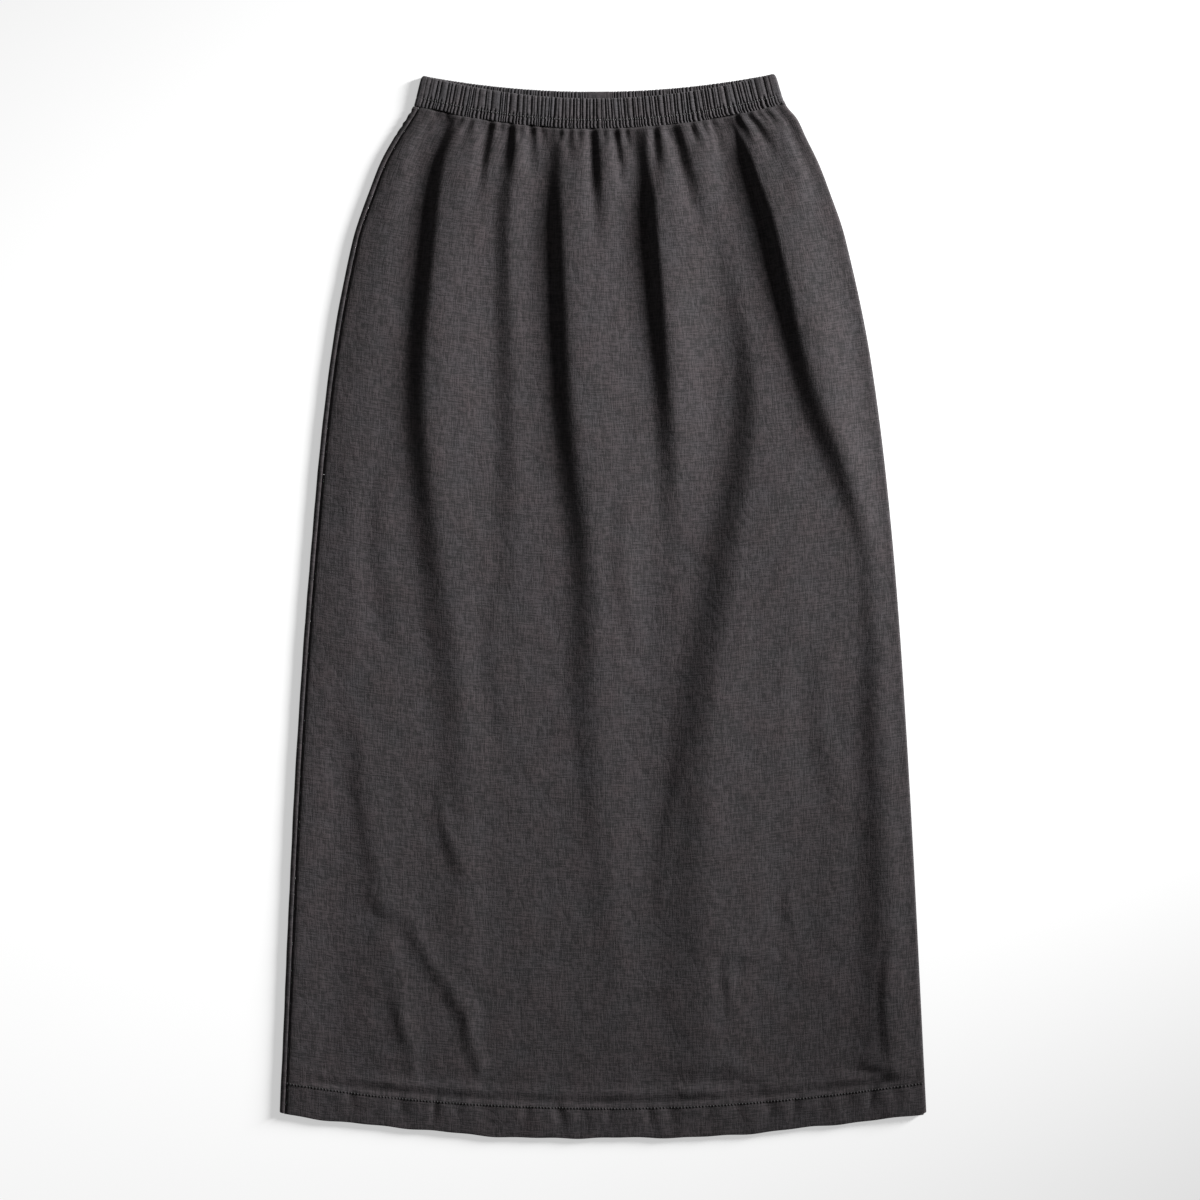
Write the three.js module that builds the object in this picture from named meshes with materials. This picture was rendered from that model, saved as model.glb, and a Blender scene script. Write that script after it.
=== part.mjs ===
// A linen maxi skirt with a gathered elastic waist, laid flat on its back.
// The skirt is a flattened ring: a back panel that lies on the table and rolls up over the left edge,
// a front panel that lies on it and rolls down under the right edge, an elastic waistband that goes round as
// one flattened ring, and the turned-up hems inside the two panels.
// Millimetres. +X is the right of the laid skirt, +Y points from the hem to the waist, +Z is up.
// "below" is a distance below the waistband. While the skirt is modelled, y is 0 at its waist corners, and
// the finished group is centred at the end.
import * as THREE from "three";

// The cloth and its layers
const CLOTH = 1.0; // wall of one layer of linen
const GAP = 0.3; // left between pieces that are sewn together or lie on each other
const ROLL = 3.0; // outer radius of the soft roll along both side edges
const SEAM_INSET = 4.5; // the left side seam lies this far inside the edge
const VALLEY_FLOOR = 2.8; // the front's outer face is no lower than this, clear of the back panel
const DITCH = { depth: 0.8, half: 2.5 }; // the front dips towards the left side seam
const EDGE_EASE = { left: 44, right: 44 }; // over these widths the folds die out towards the side edges

// Lengths along the cloth
const BAND_DEPTH = 28; // waistband, from its folded top edge to its lower edge
const PANEL_LENGTH = 905; // from the waistband to the hem, the same all round
const HEM_DEPTH = 27; // turned-up hem
const HEM_LAYERS = 4 * CLOTH + 4 * GAP; // both panels and both turned-up hems, one on the other
const HEM_MARGIN = 9; // the turned-up hems stop this far inside the side edges

// How far the middle of each edge lies lower than its corners
const FRONT_WAIST_DIP = 22;
const BACK_WAIST_DIP = 15.5;
const FRONT_HEM_SAG = 23.4;
const BACK_HEM_SAG = 21;
const WAIST_TILT = 0.9; // the right waist corner lies this much above the left one, each half

// The waistband: a casing of linen round the elastic, one flattened ring
const BAND_WALL = 3.2;
const FRONT_RIBS = 56; // gathers across the front half
const BACK_RIBS = 64; // finer ones across the back half
const RIB_RELIEF = 0.9; // depth of the groove between two ribs
const RIB_SCALLOP = 0.45; // the folded top edge dips this much at a groove
const STITCH_DENT = 0.45; // the topstitching pulls the band in along this line
const FOLD_ROUNDING = 0.35; // the folded top edge is this much thinner
const JOIN_CENTRE = -3.6; // the ends of the elastic are joined here, and the back lies flat
const JOIN_WIDTH = 21;

// The outline, as half widths to the left and the right of the skirt's middle
const OUTLINE = [
  { below: -28, left: 163.8, right: 155.7 },
  { below: 0, left: 170.6, right: 164.3 },
  { below: 13, left: 178.0, right: 174.6 },
  { below: 30, left: 189.0, right: 182.7 },
  { below: 52, left: 200.7, right: 193.5 },
  { below: 75, left: 209.7, right: 202.5 },
  { below: 120, left: 225.0, right: 217.8 },
  { below: 232, left: 245.7, right: 241.2 },
  { below: 390, left: 261.9, right: 260.1 },
  { below: 592, left: 276.3, right: 274.5 },
  { below: 905, left: 290.7, right: 290.7 },
];

// Height of the front panel's crests above the table
const CRESTS = [
  { below: 0, height: 6.6 },
  { below: 12, height: 9.4 },
  { below: 40, height: 12.5 },
  { below: 110, height: 14.0 },
  { below: 260, height: 13.0 },
  { below: 420, height: 10.5 },
  { below: 600, height: 8.8 },
  { below: 800, height: 7.6 },
  { below: 905, height: 6.8 },
];

// The long valleys of the front panel: where the bottom of each lies and how deep it is, at seven distances
// below the band. softer is the half width of its shallow left side, steeper that of its right side.
const FOLD_STATIONS = [0, 40, 100, 250, 400, 550, 800];
const FOLDS = [
  {
    name: "outer left",
    x: [-141, -156, -165, -180, -168, -150, -150],
    depth: [5.4, 8.0, 9.2, 9.0, 7.2, 4.4, 1.8],
    softer: 38,
    steeper: 9,
  },
  {
    name: "inner left",
    x: [-90, -94, -99, -100, -99, -98, -96],
    depth: [1.8, 3.4, 5.0, 4.4, 3.0, 2.0, 1.0],
    softer: 24,
    steeper: 10,
  },
  {
    name: "middle",
    x: [-49, -52, -51, -48, -37, -35, -28],
    depth: [3.6, 5.6, 9.6, 10.4, 8.8, 6.4, 2.2],
    softer: 38,
    steeper: 9.5,
  },
  {
    name: "inner right",
    x: [27, 32, 36, 44, 42, 22, 8],
    depth: [3.4, 6.6, 10.0, 7.8, 2.8, 0.0, 0.0],
    softer: 36,
    steeper: 9.5,
  },
  {
    name: "lower right",
    x: [70, 80, 94, 108, 84, 56, 44],
    depth: [0.0, 0.0, 1.6, 7.4, 7.2, 4.9, 1.8],
    softer: 26,
    steeper: 12,
  },
  {
    name: "outer right",
    x: [110, 122, 141, 173, 224, 227, 230],
    depth: [6.0, 9.4, 10.2, 7.8, 5.2, 5.4, 3.8],
    softer: 44,
    steeper: 10.5,
  },
];

// The short gathers under the band: where each starts, how far it drifts, its length, depth and half width
const GATHERS = [
  { at: -149.4, drift: -4, length: 38, depth: 3.4, half: 4.5 },
  { at: -139.5, drift: -2, length: 14, depth: 1.8, half: 3.0 },
  { at: -119.7, drift: -1, length: 20, depth: 2.4, half: 3.5 },
  { at: -109.8, drift: 0, length: 14, depth: 1.6, half: 3.0 },
  { at: -99.0, drift: 5, length: 60, depth: 5.0, half: 5.0 },
  { at: -73.8, drift: 1, length: 14, depth: 1.2, half: 3.0 },
  { at: -64.8, drift: 3, length: 28, depth: 3.0, half: 3.5 },
  { at: -54.4, drift: 2, length: 16, depth: 2.0, half: 3.0 },
  { at: -29.7, drift: 0, length: 16, depth: 1.6, half: 3.0 },
  { at: -23.4, drift: 0, length: 12, depth: 1.2, half: 2.5 },
  { at: -8.1, drift: 3, length: 90, depth: 5.2, half: 5.0 },
  { at: 9.0, drift: 8, length: 50, depth: 2.8, half: 4.0 },
  { at: 20.7, drift: 1, length: 12, depth: 1.2, half: 2.5 },
  { at: 30.2, drift: 2, length: 14, depth: 1.6, half: 3.0 },
  { at: 46.8, drift: 3, length: 48, depth: 2.4, half: 4.0 },
  { at: 55.8, drift: 2, length: 12, depth: 1.4, half: 3.0 },
  { at: 68.9, drift: 14, length: 80, depth: 4.8, half: 6.0 },
  { at: 81.0, drift: 3, length: 15, depth: 1.2, half: 3.0 },
  { at: 89.0, drift: 3, length: 12, depth: 1.2, half: 2.5 },
  { at: 99.0, drift: 5, length: 24, depth: 2.2, half: 3.5 },
  { at: 121.5, drift: 5, length: 20, depth: 2.2, half: 3.5 },
  { at: 130.5, drift: 8, length: 30, depth: 2.2, half: 4.0 },
  { at: 145.0, drift: 4, length: 14, depth: 1.2, half: 3.0 },
  { at: 156.0, drift: 2, length: 80, depth: 3.0, half: 4.5 },
];

// Low waves across the front, and the ridge that the hem stitching pulls up
const WAVES = [
  { height: 0.5, across: 37, down: 120 },
  { height: 0.4, across: 19, down: -210 },
];
const HEM_RIDGE = { above: 40, height: 0.9, half: 9, across: 31 };

// Where sections are taken down the front panel: close under the band, wider further down
const FINE_ROWS = [0, 3, 7, 13, 22, 34, 50, 70, 94];
const WIDE_ROWS = [122, 156, 196, 240, 290, 345, 400, 460, 520, 580, 645, 710, 775, 830, 863, 878, 905];
const ROLL_STEPS = 6; // sides of a roll along an edge

const lerp = THREE.MathUtils.lerp;
const smooth = THREE.MathUtils.smoothstep;
const softMax = (a, b, ease) => 0.5 * (a + b + Math.hypot(a - b, ease));

// Smooth curve through a table's column: a cubic between rows, with the slope of the rows around it.
function follow(stations, values, at) {
  const last = stations.length - 1;
  const clamped = THREE.MathUtils.clamp(at, stations[0], stations[last]);
  let i = 0;
  while (i < last - 1 && clamped > stations[i + 1]) i++;
  const slope = (k) => {
    const a = Math.max(k - 1, 0);
    const b = Math.min(k + 1, last);
    return (values[b] - values[a]) / (stations[b] - stations[a]);
  };
  const span = stations[i + 1] - stations[i];
  const t = (clamped - stations[i]) / span;
  const t2 = t * t;
  const t3 = t2 * t;
  return (
    (2 * t3 - 3 * t2 + 1) * values[i] +
    (t3 - 2 * t2 + t) * span * slope(i) +
    (3 * t2 - 2 * t3) * values[i + 1] +
    (t3 - t2) * span * slope(i + 1)
  );
}

const column = (table, name) => table.map((row) => row[name]);
const outlineStations = column(OUTLINE, "below");
const leftEdge = (below) => -follow(outlineStations, column(OUTLINE, "left"), below);
const rightEdge = (below) => follow(outlineStations, column(OUTLINE, "right"), below);
const crestHeight = (below) => follow(column(CRESTS, "below"), column(CRESTS, "height"), below);

// Place across the skirt from -1 at the left edge to 1 at the right one.
const across = (x, below) => lerp(-1, 1, (x - leftEdge(below)) / (rightEdge(below) - leftEdge(below)));

// Where a thread that starts at x under the band has fanned out to, further below. The middle hardly fans.
function fanned(x, below) {
  const edge = x < 0 ? leftEdge : rightEdge;
  return x + (edge(below) - edge(0)) * (x / edge(0)) ** 2;
}

// The y of a thread that lies `below` the band, which bows as the waist and the hem do.
function levelOf(x, below, waistDip, hemSag) {
  const s = across(x, below);
  const share = THREE.MathUtils.clamp(below / PANEL_LENGTH, 0, 1);
  const tilt = WAIST_TILT * s * (1 - share);
  return tilt - BAND_DEPTH - below - lerp(waistDip, hemSag, share) * (1 - s * s);
}

// A valley is a soft trough with one side steeper than the other.
const trough = (offset, softer, steeper) => {
  const reach = offset < 0 ? softer : steeper;
  return Math.exp(-((offset / reach) ** 2));
};

// The valleys open further down the skirt.
const widening = (below) => 1 + below / 600;

function foldDepth(x, below) {
  return FOLDS.reduce((sum, fold) => {
    const middle = follow(FOLD_STATIONS, fold.x, below);
    const depth = follow(FOLD_STATIONS, fold.depth, below) * smooth(below, -8, 10);
    return sum + depth * trough((x - middle) / widening(below), fold.softer, fold.steeper);
  }, 0);
}

function gatherDepth(x, below) {
  return GATHERS.reduce((sum, gather) => {
    const share = below / gather.length;
    if (share > 1.4) return sum;
    const middle = fanned(gather.at, below) + gather.drift * share;
    const swell = smooth(below, -6, 9) * (1 - smooth(share, 0.35, 1.35));
    const half = gather.half * (1 + share);
    return sum + gather.depth * swell * trough(x - middle, half, half * 0.8);
  }, 0);
}

function hemRidge(x, below) {
  const middle = PANEL_LENGTH - HEM_RIDGE.above;
  const swell = 0.7 + 0.3 * Math.sin(x / HEM_RIDGE.across);
  return HEM_RIDGE.height * swell * Math.exp(-(((below - middle) / HEM_RIDGE.half) ** 2));
}

// Height of the front panel's outer face above the table. Near the edges it comes down to the rolls.
function frontHeight(x, below) {
  const overHem = smooth(below, PANEL_LENGTH - 3 * HEM_DEPTH, PANEL_LENGTH - HEM_DEPTH);
  const lowest = lerp(VALLEY_FLOOR, HEM_LAYERS, overHem);
  const rolling = WAVES.reduce((sum, w) => sum + w.height * Math.sin(x / w.across + below / w.down), 0);
  const folded = crestHeight(below) + rolling - foldDepth(x, below) - gatherDepth(x, below);
  const creased = softMax(folded + hemRidge(x, below), lowest, 1);
  const fromLeft = x - leftEdge(below) - SEAM_INSET;
  const fromRight = rightEdge(below) - ROLL - x;
  const inner = smooth(fromLeft, 0, EDGE_EASE.left) * smooth(fromRight, 0, EDGE_EASE.right);
  const seamDitch = DITCH.depth * Math.exp(-((fromLeft / DITCH.half) ** 2));
  return lerp(2 * ROLL, creased, inner) - seamDitch;
}

// A point on a cloth's outer face, with the direction that the face looks in.
function frontPoint(x, below) {
  const at = (px, pb) =>
    new THREE.Vector3(px, levelOf(px, pb, FRONT_WAIST_DIP, FRONT_HEM_SAG), frontHeight(px, pb));
  const step = 0.5;
  const alongX = at(x + step, below).sub(at(x - step, below));
  const alongY = at(x, Math.max(below - step, 0)).sub(at(x, below + step));
  const out = alongX.cross(alongY);
  if (below <= 0 || below >= PANEL_LENGTH) out.y = 0;
  return { face: at(x, below), out: out.normalize() };
}

// A roll along a side edge, as a half circle that the cloth turns over. Its level goes over from that of
// the back half (toFront 0) to that of the front half (toFront 1).
function rollPoint(axisX, out, toFront, below) {
  const face = new THREE.Vector3(axisX, 0, ROLL).addScaledVector(out, ROLL);
  const waistDip = lerp(BACK_WAIST_DIP, FRONT_WAIST_DIP, toFront);
  const hemSag = lerp(BACK_HEM_SAG, FRONT_HEM_SAG, toFront);
  face.y = levelOf(face.x, below, waistDip, hemSag);
  return { face, out };
}

// At the right edge the front panel comes from its crest (turn 0) down to the table (turn 1).
function rightRollPoint(turn, below) {
  const angle = Math.PI * turn;
  const out = new THREE.Vector3(Math.sin(angle), 0, Math.cos(angle));
  return rollPoint(rightEdge(below) - ROLL, out, 1 - turn, below);
}

// The back panel lies flat, outer face down, then rolls up at the left edge (turn 0 to 1).
function backPoint(x, below) {
  const y = levelOf(x, below, BACK_WAIST_DIP, BACK_HEM_SAG);
  return { face: new THREE.Vector3(x, y, 0), out: new THREE.Vector3(0, 0, -1) };
}

function leftRollPoint(turn, below) {
  const angle = Math.PI * turn;
  const out = new THREE.Vector3(-Math.sin(angle), 0, -Math.cos(angle));
  return rollPoint(leftEdge(below) + ROLL, out, turn, below);
}

// Past the roll the back panel reaches over the front as a narrow strip, down into the seam's ditch.
function stripPoint(share, below) {
  const x = leftEdge(below) + lerp(ROLL, SEAM_INSET, share);
  const y = levelOf(x, below, FRONT_WAIST_DIP, FRONT_HEM_SAG);
  const face = new THREE.Vector3(x, y, 2 * ROLL - 0.5 * share);
  return { face, out: new THREE.Vector3(0.5 * share, 0, 1).normalize() };
}

// Triangles between two neighbouring rows of points. Rows of one length are joined point by point, and
// where the columns get fewer the row that lags behind in its places across goes first.
function zip(first, second, places) {
  const faces = [];
  const paired = first.length === second.length;
  let i = 0;
  let j = 0;
  while (i < first.length - 1 || j < second.length - 1) {
    const nextFirst = i < first.length - 1 ? places[first[i + 1]] : Infinity;
    const nextSecond = j < second.length - 1 ? places[second[j + 1]] : Infinity;
    if (paired ? i === j : nextFirst <= nextSecond) {
      faces.push(first[i], second[j], first[i + 1]);
      i++;
    } else {
      faces.push(first[i], second[j], second[j + 1]);
      j++;
    }
  }
  return faces;
}

// A closed geometry whose faces point out, whichever way round its triangles were listed.
function closedGeometry(points, faces) {
  const volume = faces.reduce((sum, _, k) => {
    if (k % 3) return sum;
    const [a, b, c] = [points[faces[k]], points[faces[k + 1]], points[faces[k + 2]]];
    return sum + a.dot(new THREE.Vector3().crossVectors(b, c));
  }, 0);
  const ordered = volume < 0 ? faces.slice().reverse() : faces;
  const geometry = new THREE.BufferGeometry();
  const coordinates = points.flatMap((point) => point.toArray());
  geometry.setAttribute("position", new THREE.Float32BufferAttribute(coordinates, 3));
  geometry.setIndex(ordered);
  geometry.computeVertexNormals();
  return geometry;
}

// A cloth wall from rows of face points: its outer face lies "lift" inside them, its inner face a wall
// further in.
function clothWall(rows, lift = 0) {
  const points = [];
  const places = [];
  const layer = (depth) =>
    rows.map((row) =>
      row.map(({ face, out }, i) => {
        points.push(face.clone().addScaledVector(out, -depth));
        places.push(row[i].place ?? i / (row.length - 1));
        return points.length - 1;
      }),
    );
  const outer = layer(lift);
  const inner = layer(lift + CLOTH);
  const faces = [];
  for (let r = 0; r + 1 < rows.length; r++) {
    faces.push(...zip(outer[r], outer[r + 1], places));
    faces.push(...zip(inner[r], inner[r + 1], places).reverse());
  }
  const rim = (a, b, c, d) => faces.push(a, c, b, b, c, d);
  const last = rows.length - 1;
  for (let i = 0; i + 1 < rows[0].length; i++) {
    rim(outer[0][i + 1], outer[0][i], inner[0][i + 1], inner[0][i]);
  }
  for (let i = 0; i + 1 < rows[last].length; i++) {
    rim(outer[last][i], outer[last][i + 1], inner[last][i], inner[last][i + 1]);
  }
  for (let r = 0; r < last; r++) {
    rim(outer[r][0], outer[r + 1][0], inner[r][0], inner[r + 1][0]);
    rim(outer[r + 1].at(-1), outer[r].at(-1), inner[r + 1].at(-1), inner[r].at(-1));
  }
  return closedGeometry(points, faces);
}

// The anchors, with further places between neighbouring ones at the given shares of their distance.
function fill(anchors, shares) {
  return anchors.flatMap((x, i) =>
    i + 1 < anchors.length ? [x, ...shares.map((share) => lerp(x, anchors[i + 1], share))] : [x],
  );
}

const frontEnds = (below) => [leftEdge(below) + SEAM_INSET + GAP, rightEdge(below) - ROLL];

// Columns close under the band: one in every valley and three between neighbouring ones.
function fineColumns(below) {
  const foldStarts = FOLDS.filter((fold) => fold.depth[0] > 0).map((fold) => fold.x[0]);
  const starts = [...foldStarts, ...column(GATHERS, "at")].sort((a, b) => a - b);
  const valleys = starts.map((x) => fanned(x, below));
  const [left, right] = frontEnds(below);
  return fill([left, ...valleys, right], [0.25, 0.5, 0.75]);
}

// Columns further down: five in every long valley, from crest to crest, and two between neighbouring ones.
// The reach of a valley's columns is held so that they stay clear of the next valley's.
const WIDEST = { reach: 1.3, left: 15 };

function wideColumns(below) {
  const valleys = FOLDS.flatMap((fold) => {
    const middle = follow(FOLD_STATIONS, fold.x, below);
    const reach = Math.min(widening(below), WIDEST.reach);
    const left = Math.min(fold.softer * reach, WIDEST.left);
    const right = fold.steeper * reach;
    return [middle - left, middle - left / 2, middle, middle + 0.6 * right, middle + 1.3 * right];
  });
  const [left, right] = frontEnds(below);
  const anchors = [left, ...valleys, right];
  return anchors.flatMap((x, i) => {
    const betweenValleys = i % 5 === 0 && i + 1 < anchors.length;
    return betweenValleys ? [x, lerp(x, anchors[i + 1], 1 / 3), lerp(x, anchors[i + 1], 2 / 3)] : [x];
  });
}

// Turns of a roll, without the one at its start.
const rollTurns = Array.from({ length: ROLL_STEPS }, (_, i) => (i + 1) / ROLL_STEPS);

// A row of the front panel. The place of a point orders it across the row, on past the edge round the roll.
function frontRow(columns, below) {
  const flat = columns.map((x) => ({ ...frontPoint(x, below), place: across(x, below) }));
  const roll = rollTurns.map((turn) => ({ ...rightRollPoint(turn, below), place: 1 + turn }));
  return [...flat, ...roll];
}

const frontRows = [
  ...FINE_ROWS.map((below) => frontRow(fineColumns(below), below)),
  ...WIDE_ROWS.map((below) => frontRow(wideColumns(below), below)),
];

// The flat back needs few columns: only its level bows across.
const BACK_COLUMNS = 10;
const backShares = Array.from({ length: BACK_COLUMNS - 1 }, (_, i) => (i + 1) / BACK_COLUMNS);

function backRow(below) {
  const right = rightEdge(below) - ROLL - GAP;
  const left = leftEdge(below) + ROLL;
  const flat = fill([right, left], backShares).map((x) => backPoint(x, below));
  const roll = rollTurns.map((turn) => leftRollPoint(turn, below));
  return [...flat, ...roll, stripPoint(1, below)];
}

const backRows = [...FINE_ROWS, ...WIDE_ROWS].map(backRow);

// The turned-up hems lie inside their panels and stop short of the rolled edges.
const hemLevels = [PANEL_LENGTH - HEM_DEPTH, PANEL_LENGTH];

const frontHemRows = hemLevels.map((below) =>
  wideColumns(below)
    .filter((x) => x > leftEdge(below) + HEM_MARGIN && x < rightEdge(below) - HEM_MARGIN)
    .map((x) => frontPoint(x, below)),
);

const backHemRows = hemLevels.map((below) => {
  const ends = [rightEdge(below) - HEM_MARGIN, leftEdge(below) + HEM_MARGIN];
  return fill(ends, backShares).map((x) => backPoint(x, below));
});

// Uneven ribs across one half of the band: each groove and the two shoulders of the rib after it, as shares
// of the way across.
function ribStations(count) {
  const unevenness = (i) => 0.3 * Math.sin(i * 2.4) + 0.2 * Math.sin(i * 5.1 + 1);
  const widths = Array.from({ length: count }, (_, i) => 1 + unevenness(i));
  const total = widths.reduce((a, b) => a + b, 0);
  let reached = 0;
  return widths.flatMap((width) => {
    const start = reached / total;
    reached += width;
    const part = width / total;
    return [
      { share: start, groove: start > 0 ? 1 : 0 },
      { share: start + 0.28 * part, groove: 0 },
      { share: start + 0.74 * part, groove: 0 },
    ];
  });
}

// Stations round the flattened ring: across the front, round the right end, back below, round the left end.
// The ends turn about an axis that lies BAND_RADIUS inside the outline.
const BAND_RADIUS = BAND_WALL + GAP / 2;
const END_TURNS = [0.2, 0.4, 0.6, 0.8];

function ringStations() {
  const atEnd = (share, turn) => ({ share, groove: 0, angle: Math.PI * turn, half: "end" });
  const front = ribStations(FRONT_RIBS).map((rib) => ({ ...rib, angle: 0, half: "front" }));
  const backward = ribStations(BACK_RIBS).map((rib) => ({ ...rib, share: 1 - rib.share }));
  const back = backward.map((rib) => ({ ...rib, angle: Math.PI, half: "back" }));
  const rightEnd = [0, ...END_TURNS].map((turn) => atEnd(1, turn));
  const leftEnd = [0, ...END_TURNS].map((turn) => atEnd(0, 1 + turn));
  return [...front, ...rightEnd, ...back, ...leftEnd];
}

// Where the elastic's ends are joined, the back half has no gathers.
const onJoin = (share) => Math.abs(lerp(leftEdge(0), rightEdge(0), share) - JOIN_CENTRE) < JOIN_WIDTH / 2;

// A section of the ring, from its lower edge up the inner face, over the fold and down the outer face.
// The ribs stand on the outer face in front, and on the inner face behind, where the outer face lies flat
// on the table. Depth is measured from the inner face, down is a share of the band's depth.
function ringSection({ share, groove, angle, half }) {
  const isBack = half === "back";
  const out = new THREE.Vector3(Math.sin(angle), 0, Math.cos(angle));
  const dip = isBack ? BACK_WAIST_DIP : FRONT_WAIST_DIP;
  const point = (down, depth) => {
    const below = BAND_DEPTH * (down - 1);
    const x = lerp(leftEdge(below) + BAND_RADIUS, rightEdge(below) - BAND_RADIUS, share);
    const face = new THREE.Vector3(x, 0, BAND_RADIUS).addScaledVector(out, GAP / 2 + depth);
    const s = across(face.x, below);
    face.y = WAIST_TILT * s - BAND_DEPTH * down - dip * (1 - s * s);
    return face;
  };
  const gathered = isBack && onJoin(share) ? 0 : groove;
  const inside = isBack ? gathered * RIB_RELIEF : 0;
  const outside = isBack ? 0 : gathered * RIB_RELIEF;
  const dent = isBack ? 0 : STITCH_DENT;
  const rounding = isBack ? 0 : FOLD_ROUNDING;
  const fold = point(0, BAND_WALL / 2);
  fold.y -= gathered * RIB_SCALLOP;
  return [
    point(1, inside),
    point(0.08, FOLD_ROUNDING + inside),
    fold,
    point(0.06, BAND_WALL - rounding - 0.6 * outside),
    point(0.3, BAND_WALL - outside),
    point(0.7, BAND_WALL - outside - dent),
    point(1, BAND_WALL - 0.8 * outside),
  ];
}

// A closed ring of closed sections.
function ringGeometry(sections) {
  const loop = sections[0].length;
  const faces = sections.flatMap((_, i) =>
    sections[i].flatMap((__, k) => {
      const next = ((i + 1) % sections.length) * loop;
      const a = i * loop + k;
      const b = i * loop + ((k + 1) % loop);
      const c = next + k;
      const d = next + ((k + 1) % loop);
      return [a, b, c, b, d, c];
    }),
  );
  return closedGeometry(sections.flat(), faces);
}

const band = ringGeometry(ringStations().map(ringSection));

const LINEN = { color: 0x474345, roughness: 0.92, metalness: 0 };
const linen = new THREE.MeshStandardMaterial({ ...LINEN, name: "linen" });
const bandLinen = new THREE.MeshStandardMaterial({ ...LINEN, name: "waistband_linen" });
const insideLinen = new THREE.MeshStandardMaterial({ ...LINEN, color: 0x3d3a3c, name: "linen_inside" });

const HEM_LIFT = CLOTH + GAP; // the turned-up hems lie this far inside their panels' outer faces
const PIECES = [
  { name: "front_panel", geometry: clothWall(frontRows), material: linen },
  { name: "back_panel", geometry: clothWall(backRows), material: linen },
  { name: "front_hem_turnup", geometry: clothWall(frontHemRows, HEM_LIFT), material: insideLinen },
  { name: "back_hem_turnup", geometry: clothWall(backHemRows, HEM_LIFT), material: insideLinen },
  { name: "waistband", geometry: band, material: bandLinen },
];

// The band is set a gap above the panels that hang from it.
const garment = new THREE.Group();
for (const piece of PIECES) {
  const mesh = new THREE.Mesh(piece.geometry, piece.material);
  mesh.name = piece.name;
  mesh.position.y = piece.geometry === band ? GAP : 0;
  garment.add(mesh);
}

// The origin is on the table, under the middle of the skirt's length and width.
const middle = new THREE.Box3().setFromObject(garment).getCenter(new THREE.Vector3());
garment.position.set(-middle.x, -middle.y, 0);

const skirt = new THREE.Group();
skirt.name = "maxi_skirt";
skirt.add(garment);

export default skirt;
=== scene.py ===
# %% [markdown]
# # A linen maxi skirt, laid flat
#
# A long pull-on skirt lies on a pale table, seen straight from above. Its maker cut two panels of charcoal
# linen, sewed them together at the sides, gathered them into an elastic waistband and turned up the hem.
# Every piece of cloth here starts as a Blender grid, whose own coordinates are read as places on the cloth:
# so far across it, so far down it. A function then says where that place lies on the table.
#
# The first cell loads the frame: the plain solids that give each piece its place and size. All lengths are
# metres, +X is the right of the skirt, +Y points from the hem to the waist and +Z is up.

# %% Load the frame
import math

import bpy
import numpy as np
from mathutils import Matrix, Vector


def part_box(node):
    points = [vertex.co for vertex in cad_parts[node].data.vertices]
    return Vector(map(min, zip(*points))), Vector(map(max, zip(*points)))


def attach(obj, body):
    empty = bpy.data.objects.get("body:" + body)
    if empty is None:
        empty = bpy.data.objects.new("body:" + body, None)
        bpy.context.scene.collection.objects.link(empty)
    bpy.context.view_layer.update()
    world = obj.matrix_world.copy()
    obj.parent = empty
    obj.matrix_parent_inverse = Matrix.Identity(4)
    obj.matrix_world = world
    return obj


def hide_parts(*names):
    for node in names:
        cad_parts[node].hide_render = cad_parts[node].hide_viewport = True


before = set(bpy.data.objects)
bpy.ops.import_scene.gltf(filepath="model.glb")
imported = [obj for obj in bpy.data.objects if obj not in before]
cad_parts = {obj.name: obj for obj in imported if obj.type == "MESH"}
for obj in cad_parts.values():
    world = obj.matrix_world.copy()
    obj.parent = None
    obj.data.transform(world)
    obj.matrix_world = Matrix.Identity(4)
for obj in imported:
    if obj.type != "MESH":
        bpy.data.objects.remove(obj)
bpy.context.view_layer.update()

MM = 0.001  # lengths along the cloth are given in millimetres and turned into metres once
print("nodes:", sorted(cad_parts))

# %% [markdown]
# ## The sizes of the skirt
#
# The cloth is described by two coordinates. One is the distance below the waistband, the other is the place
# across. The outline gives half widths to the left and the right of the middle, because the two sides didn't
# fall quite alike. The waist and the hem bow downwards in the middle, as they do when a flared skirt is laid
# flat. The waist of the back bows less, so a sliver of the inside shows above the front.

# %% Sizes and outline
BAND_DEPTH = 28.0
PANEL_LENGTH = 905.0
HEM_DEPTH = 27.0
HEM_LINE = PANEL_LENGTH - HEM_DEPTH  # the hem is stitched here
FRONT_WAIST_DIP, BACK_WAIST_DIP = 22.0, 15.5
FRONT_HEM_SAG, BACK_HEM_SAG = 23.4, 21.0
WAIST_TILT = 0.9  # the right end of the waist lies this much higher than its middle
SEAM_INSET = 4.5  # the left side seam shows this far inside the edge
ROLL = 3.0  # radius of the rolled side edges
GAP = 0.3  # room between pieces that would touch

OUTLINE = {
    "below": (-28, 0, 13, 30, 52, 75, 120, 232, 390, 592, 905),
    "left": (163.8, 170.6, 178.0, 189.0, 200.7, 209.7, 225.0, 245.7, 261.9, 276.3, 290.7),
    "right": (155.7, 164.3, 174.6, 182.7, 193.5, 202.5, 217.8, 241.2, 260.1, 274.5, 290.7),
}

# The lowest point of the hem is known from the frame, and the waist lies this far above it.
WAIST_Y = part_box("front_panel")[0].y / MM + BAND_DEPTH + PANEL_LENGTH + FRONT_HEM_SAG
TABLE_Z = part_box("back_panel")[0].z / MM
print("waist corners at y =", round(WAIST_Y, 1), "mm, table at z =", round(TABLE_Z, 2), "mm")

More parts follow.
